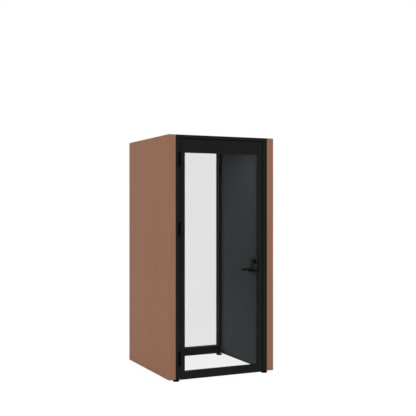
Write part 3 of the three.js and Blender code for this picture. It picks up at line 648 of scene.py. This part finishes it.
class POD_OT_seals(PodOperator):
    """Bulb seal round the door opening and the two-finned sweep under the door."""

    bl_idname = "pod.seals"
    bl_label = "Seals"

    def make(self, context, sizes):
        self.bulb_seal(context)
        self.sweep(context, sizes)

    def bulb_seal(self, context):
        low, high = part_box("door_seal")
        thick = high.y - low.y
        half = 4 * MM
        middle_x = high.x - half
        middle_z = high.z - half
        bulb = [(math.sin(t), math.cos(t)) for t in (math.pi * i / 12 - math.pi / 2 for i in range(13))]
        section = [(half * 0.8 * a, thick * (0.62 - 0.62 * b)) for a, b in bulb]
        section += [(half, thick * 0.7), (half, thick), (-half, thick), (-half, thick * 0.7)]
        bm = bmesh.new()
        extruded(bm, section, (
            lambda a, b: Vector((-middle_x - a, low.y + b, low.z)),
            lambda a, b: Vector((-middle_x - a, low.y + b, middle_z + a)),
            lambda a, b: Vector((middle_x + a, low.y + b, middle_z + a)),
            lambda a, b: Vector((middle_x + a, low.y + b, low.z)),
        ))
        install(settle(new_piece("bulb_seal", bm, finish_named(context, "black_rubber"))), "door_seal")

    def sweep(self, context, sizes):
        low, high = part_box("door_sweep")
        low.z -= sizes.sweep_droop
        middle = (low.y + high.y) / 2
        half = (high.y - low.y) / 2
        tall = high.z - low.z
        fin = [(1, 0.12), (0.86, 0), (0.62, 0), (0.46, 0.12), (0.3, 0.42)]
        side = [(1, 1), (1, 0.55), (0.8, 0.5), (0.8, 0.42), *fin]
        section = side + [(-a, b) for a, b in reversed(side)]
        points = [(half * a, tall * b) for a, b in section]
        bm = bmesh.new()
        extruded(bm, points, (
            lambda a, b: Vector((low.x, middle + a, low.z + b)),
            lambda a, b: Vector((high.x, middle + a, low.z + b)),
        ))
        install(settle(new_piece("door_sweep_fins", bm, finish_named(context, "black_rubber"))), "door_sweep")


class POD_OT_hinges(PodOperator):
    """Leaves and button-headed pins of the three hinges."""

    bl_idname = "pod.hinges"
    bl_label = "Hinges"

    def make(self, context, sizes):
        for word in HINGES:
            low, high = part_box(f"{word}_hinge_pin")
            axis = ((low + high) / 2).xy
            for leaf in ("frame_leaf", "door_leaf"):
                piece = dress(context, f"{word}_hinge_{leaf}", "frame_coat", sizes.plate_edge)
                refinish(context, piece, "deep_black", lambda middle, way: (middle.xy - axis).length < 8.4 * MM)
            self.pin(context, f"{word}_hinge_pin")

    def pin(self, context, node):
        low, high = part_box(node)
        middle = (low + high) / 2
        half = (high.z - low.z) / 2
        head = (high.x - low.x) / 2
        tall = 2.5 * MM
        dome = [math.pi / 2 * i / 5 for i in range(5)]
        top = [(head * math.cos(t), half - tall + tall * math.sin(t)) for t in dome]
        profile = [(3.5 * MM, 0), (3.5 * MM, half - tall), *top]
        profile = [(radius, -height) for radius, height in reversed(profile[1:])] + profile[1:]
        bm = bmesh.new()
        turned(bm, profile, middle, UP, 32)
        install(settle(new_piece(f"{node}_turned", bm, finish_named(context, "deep_black"))), node)


class POD_OT_lock(PodOperator):
    """Lock covers, key cylinder, thumb turn, bolts and strike."""

    bl_idname = "pod.lock"
    bl_label = "Lock"

    def make(self, context, sizes):
        for node in ("outside_lock_cover", "inside_lock_cover"):
            cover = dress(context, node, "lock_satin", sizes.plate_edge * 2, 3)
            # The covers' side faces take the darker hardware black as painted shade along their edges.
            refinish(context, cover, "hardware_black", lambda middle, way: abs(way.y) < 0.6)
        for bolt in ("lock_body", "latch_bolt", "deadbolt", "strike_plate"):
            dress(context, bolt, "brushed_steel", sizes.plate_edge * 0.6)
        self.cylinder(context)
        self.thumb_turn(context)

    def cylinder(self, context):
        low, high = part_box("key_cylinder")
        radius = (high.x - low.x) / 2
        origin = Vector(((low.x + high.x) / 2, high.y, (low.z + high.z) / 2))
        deep = high.y - low.y
        core = 12 * MM
        plug = 11 * MM
        seat = deep - 20 * MM
        face = seat + 6 * MM
        profile = [
            (core, 0), (core, seat), (radius, seat), (radius, face - 2.4 * MM), (radius - 0.7 * MM, face - 0.9 * MM),
            (radius - 2.2 * MM, face), (plug + 3.6 * MM, face), (plug + 2.4 * MM, face - 1.4 * MM),
            (plug + 0.4 * MM, face - 1.6 * MM), (plug, face - 1 * MM), (plug, deep - 1.2 * MM),
            (plug - 0.4 * MM, deep - 0.4 * MM), (plug - 1.1 * MM, deep), (8.3 * MM, deep), (8.1 * MM, deep - 0.6 * MM),
            (7.7 * MM, deep - 0.6 * MM), (7.4 * MM, deep - 0.1 * MM),
        ]
        bm = bmesh.new()
        turned(bm, profile, origin, TO_FRONT, 64)
        # The collar takes the painted shade black, which stands for the shadow in the recess round the lighter core.
        piece = new_piece("key_cylinder_turned", bm, finish_named(context, "gap_black"))
        self.cut_keyway(piece, origin + Vector((0, -deep, 0)))
        tip = low.y + 1.5 * MM
        refinish(context, piece, "frame_coat", lambda middle, way: middle.y < tip and way.y < -0.3)
        install(piece, "key_cylinder")

    def cut_keyway(self, piece, mouth):
        """Cuts the upright slot that takes the key."""
        bm = bmesh.new()
        wide, tall, deep = 1.1 * MM, 5 * MM, 4 * MM
        notch = [(-wide, -tall), (wide, -tall), (wide, -1 * MM), (2 * wide, 0), (wide, 1 * MM), (wide, tall), (-wide, tall)]
        loft(bm, [ring_at(notch, height, mouth, TO_FRONT) for height in (-deep, 1 * MM)])
        cutter = new_piece("keyway", bm, piece.data.materials[0])
        slot = piece.modifiers.new("keyway", "BOOLEAN")
        slot.operation = "DIFFERENCE"
        slot.object = cutter
        settle(piece)
        bpy.data.objects.remove(cutter)

    def thumb_turn(self, context):
        low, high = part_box("thumb_turn")
        radius = (high.x - low.x) / 2
        origin = Vector(((low.x + high.x) / 2, low.y, (low.z + high.z) / 2))
        deep = high.y - low.y
        blade = 18 * MM
        flange = 5 * MM
        seat = deep - blade - flange
        profile = [
            (5 * MM, 0), (5 * MM, seat), (radius, seat), (radius, seat + 2.4 * MM), (radius - 1 * MM, seat + 3.8 * MM),
            (radius - 3 * MM, deep - blade), (9 * MM, deep - blade + 0.2 * MM),
        ]
        bm = bmesh.new()
        turned(bm, profile, origin, TO_BACK, 64)
        rim = rounded_rim(1.6 * MM, deep - blade - 1 * MM, deep)
        rings = []
        for inset, height in rim:
            outline = [(b, a + 13 * MM) for a, b in stadium(4 * MM - inset, 26 * MM)]
            rings.append(ring_at(outline, height, origin, TO_BACK))
        loft(bm, rings)
        install(settle(new_piece("thumb_turn_moulded", bm, finish_named(context, "hardware_black"))), "thumb_turn")


class POD_OT_levers(PodOperator):
    """Two lever handles on one square spindle."""

    bl_idname = "pod.levers"
    bl_label = "Levers"

    def make(self, context, sizes):
        self.lever(context, sizes, "outside_lever", TO_FRONT, "hardware_black")
        # The inside lever takes the paler frame coat: painted light that stands for the veil the door glass lays over
        # it.
        self.lever(context, sizes, "inside_lever", TO_BACK, "frame_coat")
        dress(context, "lever_spindle", "brushed_steel", 0.4 * MM)

    def lever(self, context, sizes, node, axes, finish):
        low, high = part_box(node)
        radius = (high.z - low.z) / 2
        deep = high.y - low.y
        start = high.y if axes is TO_FRONT else low.y
        origin = Vector((high.x - radius, start, (low.z + high.z) / 2))
        reach = high.x - low.x - 2 * radius
        hand = axes[0].x
        bar = deep - sizes.lever_bar
        neck = 10 * MM
        bm = bmesh.new()
        rings = []
        for inset, height in rounded_rim(sizes.lever_round, bar, deep):
            outline = [(a * hand, b) for a, b in stadium(radius - inset, reach)]
            rings.append(ring_at(outline, height, origin, axes))
        loft(bm, rings)
        profile = [
            (neck - 0.5 * MM, 0), (neck, 0.5 * MM), (neck, bar - 9 * MM), (neck - 0.7 * MM, bar - 8 * MM),
            (neck - 0.7 * MM, bar - 3 * MM), (neck - 0.2 * MM, bar - 1.2 * MM), (neck + 0.6 * MM, bar + 0.6 * MM),
        ]
        turned(bm, profile, origin, axes, 48)
        install(settle(new_piece(f"{node}_forged", bm, finish_named(context, finish))), node)


class POD_OT_feet(PodOperator):
    """Levelling feet: a pad on a rubber sole, a hexagon nut and a threaded stud."""

    bl_idname = "pod.feet"
    bl_label = "Feet"

    def make(self, context, sizes):
        for node in FEET:
            self.foot(context, sizes, node)

    def foot(self, context, sizes, node):
        low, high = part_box(node)
        origin = Vector(((low.x + high.x) / 2, (low.y + high.y) / 2, low.z))
        radius = (high.x - low.x) / 2
        sole = 3 * MM
        rim = 13 * MM
        bm = bmesh.new()
        turned(bm, [(radius - 1.5 * MM, 0), (radius - 0.4 * MM, 0.4 * MM), (radius, 1.2 * MM), (radius, sole)], origin, UP, 64)
        sole_faces = len(bm.faces)
        pad = [
            (radius - 0.4 * MM, sole), (radius - 0.4 * MM, rim - 1 * MM), (radius - 1.4 * MM, rim),
            (radius * 0.62, rim + 0.9 * MM), (12 * MM, rim + 1.4 * MM), (9 * MM, rim + 1.7 * MM),
        ]
        turned(bm, pad, origin, UP, 64)
        nut = [(9.6 * MM, 1.2 * MM), (10.39 * MM, 1.9 * MM), (10.39 * MM, 5.2 * MM), (9.6 * MM, 5.9 * MM)]
        loft(bm, [ring_at(hexagon(flat), rim + rise, origin, UP) for flat, rise in nut])
        stud = [(5.2 * MM, rim + 1.5 * MM)]
        height = rim + 2.5 * MM
        while height + sizes.thread_pitch < high.z - low.z - 1 * MM:
            stud += [(5.2 * MM, height), (6 * MM, height + sizes.thread_pitch * 0.5)]
            height += sizes.thread_pitch
        stud += [(5.2 * MM, height), (4.6 * MM, high.z - low.z)]
        turned(bm, stud, origin, UP, 24)
        piece = new_piece(f"{node}_turned", bm, finish_named(context, "deep_black"))
        piece.data.materials.append(finish_named(context, "black_rubber"))
        for face in piece.data.polygons[:sole_faces]:
            face.material_index = 1
        install(settle(piece), node)


class POD_OT_roof(PodOperator):
    """Roof board, ceiling felt, ceiling light and power inlet."""

    bl_idname = "pod.roof"
    bl_label = "Roof"

    def make(self, context, sizes):
        dress(context, "roof_deck", "roof_facing", sizes.plate_edge)
        dress(context, "ceiling_felt", "grey_felt", sizes.felt_edge * 0.6)
        dress(context, "light_tray", "moulded_plastic", sizes.plate_edge)
        dress(context, "light_diffuser", "opal_diffuser", sizes.plate_edge)
        dress(context, "power_inlet", "moulded_plastic", sizes.plate_edge * 2, 3)
        self.inlet_pins(context)

    def inlet_pins(self, context):
        low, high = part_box("power_inlet")
        middle = (low + high) / 2
        floor = high.z - 16 * MM
        bm = bmesh.new()
        for x, y in ((-7, -2), (7, -2), (0, 3)):
            origin = Vector((middle.x + x * MM, middle.y + y * MM, floor))
            rings = []
            for inset, height in ((0, -0.5), (0, 10), (0.3, 11.2), (0.6, 11.6)):
                outline = [(b, a + 1.5 * MM) for a, b in stadium((1 - inset * 0.6) * MM, 3 * MM, 6)]
                rings.append(ring_at(outline, height * MM, origin, UP))
            loft(bm, rings)
        piece = settle(new_piece("inlet_pins", bm, finish_named(context, "brushed_steel")))
        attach(piece, "cabin")


class POD_OT_fan(PodOperator):
    """Roof fan: housing, rotor with twisted blades, guard and ceiling grille."""

    bl_idname = "pod.fan"
    bl_label = "Fan"

    def make(self, context, sizes):
        for node in ("fan_housing", "fan_guard", "ceiling_grille"):
            dress(context, node, "moulded_plastic", sizes.plate_edge)
        self.rotor(context, sizes)

    def rotor(self, context, sizes):
        housing_low, housing_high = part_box("fan_housing")
        centre = (housing_low + housing_high) / 2
        low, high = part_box("fan_rotor")
        origin = Vector((centre.x, centre.y, low.z))
        tall = high.z - low.z
        tip = 57 * MM
        hub = 20 * MM
        bm = bmesh.new()
        turned(bm, [(3.6 * MM, 0), (hub, 0), (hub, tall * 0.8), (hub * 0.93, tall * 0.94), (hub * 0.8, tall)], origin, UP)
        for turn in range(sizes.blade_count):
            self.blade(bm, origin, tall, hub - 2 * MM, tip, math.tau * turn / sizes.blade_count)
        install(settle(new_piece("fan_rotor_moulded", bm, finish_named(context, "moulded_plastic"))), "fan_rotor")

    def blade(self, bm, origin, tall, root, tip, turn):
        """A cambered blade that flattens towards its tip."""
        steps = 8
        spin = Matrix.Rotation(turn, 3, "Z")
        rings = []
        for i in range(steps + 1):
            share = i / steps
            radius = root + (tip - root) * share
            chord = (16 + 8 * share) * MM
            pitch = math.radians(44 - 18 * share)
            top, bottom = [], []
            for j in range(steps + 1):
                along = j / steps - 0.5
                camber = 0.09 * chord * (1 - 4 * along * along)
                thick = (0.4 + 1.0 * (1 - 4 * along * along)) * MM / 2
                for side, points in ((thick, top), (-thick, bottom)):
                    flat, rise = along * chord, camber + side
                    y = flat * math.cos(pitch) - rise * math.sin(pitch)
                    z = flat * math.sin(pitch) + rise * math.cos(pitch)
                    reach = math.sqrt(max(radius * radius - y * y, 0))
                    points.append(origin + spin @ Vector((reach, y, z)) + Vector((0, 0, tall / 2)))
            rings.append(top + list(reversed(bottom)))
        loft(bm, rings)


# Fasteners, placed by Geometry Nodes


def screw_head(sizes, finish):
    """A low screw head with a hexagon socket, pointing up."""
    radius = sizes.screw_head
    rise = sizes.screw_rise
    rings = [
        (circle(radius, 24), -0.4 * MM), (circle(radius, 24), rise * 0.45), (circle(radius * 0.82, 24), rise * 0.86),
        (circle(radius * 0.62, 24), rise), (hexagon(radius * 0.44, 24), rise), (hexagon(radius * 0.44, 24), rise * 0.12),
    ]
    bm = bmesh.new()
    loft(bm, [ring_at(outline, height, Vector(), UP) for outline, height in rings])
    return new_piece("screw_head", bm, finish)


def fastener_tree():
    """Nodes that stand one head on every point, turned along the point's facing and spun at random."""
    tree = bpy.data.node_groups.new("place_fasteners", "GeometryNodeTree")
    face = tree.interface
    face.new_socket("Geometry", in_out="INPUT", socket_type="NodeSocketGeometry")
    face.new_socket("Head", in_out="INPUT", socket_type="NodeSocketObject")
    face.new_socket("Size", in_out="INPUT", socket_type="NodeSocketFloat").default_value = 1.0
    face.new_socket("Seed", in_out="INPUT", socket_type="NodeSocketInt").default_value = 3
    face.new_socket("Finish", in_out="INPUT", socket_type="NodeSocketMaterial")
    face.new_socket("Geometry", in_out="OUTPUT", socket_type="NodeSocketGeometry")

    def add(kind, settings=None):
        node = tree.nodes.new(kind)
        for name, value in (settings or {}).items():
            setattr(node, name, value)
        return node

    given = add("NodeGroupInput")
    result = add("NodeGroupOutput")
    head = add("GeometryNodeObjectInfo")
    facing = add("GeometryNodeInputNamedAttribute", {"data_type": "FLOAT_VECTOR"})
    facing.inputs["Name"].default_value = "facing"
    stand = add("FunctionNodeAlignRotationToVector", {"axis": "Z"})
    spin = add("FunctionNodeRandomValue", {"data_type": "FLOAT"})
    spin.inputs[3].default_value = math.tau
    turn = add("FunctionNodeAxisAngleToRotation")
    both = add("FunctionNodeRotateRotation", {"rotation_space": "LOCAL"})
    place = add("GeometryNodeInstanceOnPoints")
    whole = add("GeometryNodeRealizeInstances")
    coat = add("GeometryNodeSetMaterial")
    join = tree.links.new
    join(given.outputs["Head"], head.inputs["Object"])
    join(facing.outputs[0], stand.inputs["Vector"])
    join(given.outputs["Seed"], spin.inputs["Seed"])
    join(spin.outputs[1], turn.inputs["Angle"])
    join(stand.outputs[0], both.inputs["Rotation"])
    join(turn.outputs[0], both.inputs["Rotate By"])
    join(given.outputs["Geometry"], place.inputs["Points"])
    join(head.outputs["Geometry"], place.inputs["Instance"])
    join(both.outputs[0], place.inputs["Rotation"])
    join(given.outputs["Size"], place.inputs["Scale"])
    join(place.outputs[0], whole.inputs[0])
    join(whole.outputs[0], coat.inputs["Geometry"])
    join(given.outputs["Finish"], coat.inputs["Material"])
    join(coat.outputs[0], result.inputs["Geometry"])
    return tree


class POD_OT_fasteners(PodOperator):
    """Screw heads on the hinge leaves, lock, strike, grilles, inlet and roof board."""

    bl_idname = "pod.fasteners"
    bl_label = "Fasteners"

    def make(self, context, sizes):
        finish = finish_named(context, "hardware_black")
        head = screw_head(sizes, finish)
        tree = fastener_tree()
        self.place(context, tree, head, finish, "cabin_screws", "cabin", self.cabin_points())
        self.place(context, tree, head, finish, "door_screws", "door", self.door_points())
        bpy.data.objects.remove(head)

    def cabin_points(self):
        points = []
        for word in HINGES:
            low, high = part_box(f"{word}_hinge_frame_leaf")
            points += self.leaf_points(low, high, low.x + 12 * MM)
        points += self.end_points("strike_plate", Vector((-1, 0, 0)), 8 * MM)
        points += self.corner_points("fan_guard", Vector((0, 0, 1)), 10 * MM)
        points += self.corner_points("ceiling_grille", Vector((0, 0, -1)), 10 * MM)
        low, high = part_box("power_inlet")
        middle = (low + high) / 2
        points += [(Vector((middle.x + x, middle.y, high.z)), Vector((0, 0, 1))) for x in (-22 * MM, 22 * MM)]
        return points + self.deck_points()

    def door_points(self):
        points = []
        for word in HINGES:
            low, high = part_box(f"{word}_hinge_door_leaf")
            points += self.leaf_points(low, high, high.x - 14 * MM)
        points += self.end_points("lock_body", Vector((1, 0, 0)), 6 * MM)
        low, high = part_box("inside_lock_cover")
        face = high.y - 7 * MM
        x = (low.x + high.x) / 2
        return points + [(Vector((x, face, z)), Vector((0, 1, 0))) for z in (low.z + 9 * MM, high.z - 9 * MM)]

    def leaf_points(self, low, high, x):
        face = high.y - 3 * MM
        middle = (low.z + high.z) / 2
        return [(Vector((x, face, middle + rise * MM)), Vector((0, -1, 0))) for rise in (-46, 0, 46)]

    def end_points(self, node, facing, inset):
        low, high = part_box(node)
        x = low.x if facing.x < 0 else high.x
        y = (low.y + high.y) / 2
        return [(Vector((x, y, z)), facing) for z in (low.z + inset, high.z - inset)]

    def corner_points(self, node, facing, inset):
        low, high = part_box(node)
        z = high.z if facing.z > 0 else low.z
        places = [(x, y) for x in (low.x + inset, high.x - inset) for y in (low.y + inset, high.y - inset)]
        return [(Vector((x, y, z)), facing) for x, y in places]

    def deck_points(self):
        low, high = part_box("roof_deck")
        inset = 24 * MM
        low, high = low + Vector((inset, inset, 0)), high - Vector((inset, inset, 0))
        count = 5
        points = []
        for i in range(count):
            x = low.x + (high.x - low.x) * i / (count - 1)
            y = low.y + (high.y - low.y) * i / (count - 1)
            points += [(x, low.y), (x, high.y)]
            if 0 < i < count - 1:
                points += [(low.x, y), (high.x, y)]
        return [(Vector((x, y, high.z)), Vector((0, 0, 1))) for x, y in points]

    def place(self, context, tree, head, finish, name, body, points):
        mesh = bpy.data.meshes.new(name)
        mesh.from_pydata([point for point, _ in points], [], [])
        facing = mesh.attributes.new("facing", "FLOAT_VECTOR", "POINT")
        facing.data.foreach_set("vector", [part for _, way in points for part in way])
        piece = bpy.data.objects.new(name, mesh)
        context.scene.collection.objects.link(piece)
        nodes = piece.modifiers.new("fasteners", "NODES")
        nodes.node_group = tree
        sockets = {item.name: item.identifier for item in tree.interface.items_tree if item.in_out == "INPUT"}
        nodes[sockets["Head"]] = head
        nodes[sockets["Finish"]] = finish
        settle(piece)
        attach(piece, body)


# Stage


class POD_OT_stage(bpy.types.Operator):
    """White floor, even white surround, soft key light and the level camera."""

    bl_idname = "pod.stage"
    bl_label = "Stage"

    def execute(self, context):
        stage = context.scene.pod_stage
        context.scene.view_settings.view_transform = "Standard"
        self.floor(context, stage)
        self.surround(context, stage)
        self.lamp(context, "soft_key", stage.key, 4.5, Vector((-4.6, -6.0, 2.0)), Vector((0, 0, 1.1)))
        self.lamp(context, "soft_back", stage.back, 0.8, Vector((-0.45, 2.6, 0.45)), Vector((0.4, 0, 0.3)))
        self.camera(context, stage)
        return {"FINISHED"}

    def seen(self, finish):
        """1 for what the camera sees straight, in gloss or through glass."""
        path = finish.add("ShaderNodeLightPath", out="Is Camera Ray")
        glossy = Value(finish, path.socket.node.outputs["Is Glossy Ray"])
        through = Value(finish, path.socket.node.outputs["Is Transmission Ray"])
        return path.larger(glossy).larger(through)

    def floor(self, context, stage):
        half = stage.floor_half
        bm = bmesh.new()
        bmesh.ops.create_grid(bm, x_segments=4, y_segments=4, size=half)
        finish = Finish("studio_floor")
        colour = tuple(context.scene.pod_colours.floor)
        lit = finish.add("ShaderNodeBsdfDiffuse", {}, {"Color": colour})
        faint = finish.add("ShaderNodeBsdfDiffuse", {}, {"Color": scaled(colour, stage.floor_shade)})
        glow = finish.add("ShaderNodeEmission", {}, {"Color": (1, 1, 1), "Strength": stage.floor_glow})
        white = finish.add("ShaderNodeAddShader", {}, {0: faint, 1: glow})
        shader = finish.add("ShaderNodeMixShader", {}, {0: self.seen(finish), 1: lit, 2: white})
        floor = new_piece("studio_floor", bm, finish.done(shader))
        floor.location.z = -0.0005

    def surround(self, context, stage):
        world = bpy.data.worlds.new("studio_surround")
        context.scene.world = world
        finish = Finish("studio_surround", world)
        light = finish.add("ShaderNodeBackground", {}, {"Color": (1, 1, 1), "Strength": stage.sky})
        white = finish.add("ShaderNodeBackground", {}, {"Color": (1, 1, 1), "Strength": 1.0})
        finish.done(finish.add("ShaderNodeMixShader", {}, {0: self.seen(finish), 1: light, 2: white}))

    def lamp(self, context, name, power, size, place, target):
        """A round soft light that stands at a place, faces a target and is never seen or mirrored."""
        light = bpy.data.lights.new(name, "AREA")
        light.shape = "DISK"
        light.size = size
        light.energy = power
        lamp = bpy.data.objects.new(name, light)
        lamp.location = place
        lamp.rotation_euler = (target - place).to_track_quat("-Z", "Y").to_euler()
        lamp.visible_camera = False
        lamp.visible_glossy = False
        context.scene.collection.objects.link(lamp)

    def camera(self, context, stage):
        data = bpy.data.cameras.new("level_camera")
        data.sensor_width = 36
        data.lens = data.sensor_width / 2 / math.tan(stage.view_angle / 2)
        camera = bpy.data.objects.new("level_camera", data)
        camera.location = stage.camera_place
        camera.rotation_euler = (math.pi / 2, 0, stage.camera_turn)
        context.scene.collection.objects.link(camera)
        context.scene.camera = camera


PIECE_OPERATORS = (
    POD_OT_side_walls, POD_OT_frames, POD_OT_glazing, POD_OT_seals, POD_OT_hinges, POD_OT_lock, POD_OT_levers,
    POD_OT_feet, POD_OT_roof, POD_OT_fan, POD_OT_fasteners, POD_OT_stage,
)


class POD_PT_panel(bpy.types.Panel):
    """Lists the pod's operators and the values that they use."""

    bl_idname = "POD_PT_panel"
    bl_label = "Acoustic pod"
    bl_space_type = "VIEW_3D"
    bl_region_type = "UI"
    bl_category = "Pod"

    def draw(self, context):
        column = self.layout.column()
        for operator in PIECE_OPERATORS:
            column.operator(operator.bl_idname)
        for group in (context.scene.pod_colours, context.scene.pod_sizes, context.scene.pod_stage):
            box = self.layout.box()
            for name in group.__annotations__:
                box.prop(group, name)


CLASSES = (PodColours, PodSizes, PodStage, *PIECE_OPERATORS, POD_PT_panel)
GROUPS = {"pod_colours": PodColours, "pod_sizes": PodSizes, "pod_stage": PodStage}


def register():
    for cls in CLASSES:
        bpy.utils.register_class(cls)
    for name, group in GROUPS.items():
        setattr(bpy.types.Scene, name, PointerProperty(type=group))


def unregister():
    for name in GROUPS:
        delattr(bpy.types.Scene, name)
    for cls in reversed(CLASSES):
        bpy.utils.unregister_class(cls)


def main():
    register()
    for operator in PIECE_OPERATORS:
        category, name = operator.bl_idname.split(".")
        getattr(getattr(bpy.ops, category), name)()


if __name__ == "__main__":
    main()
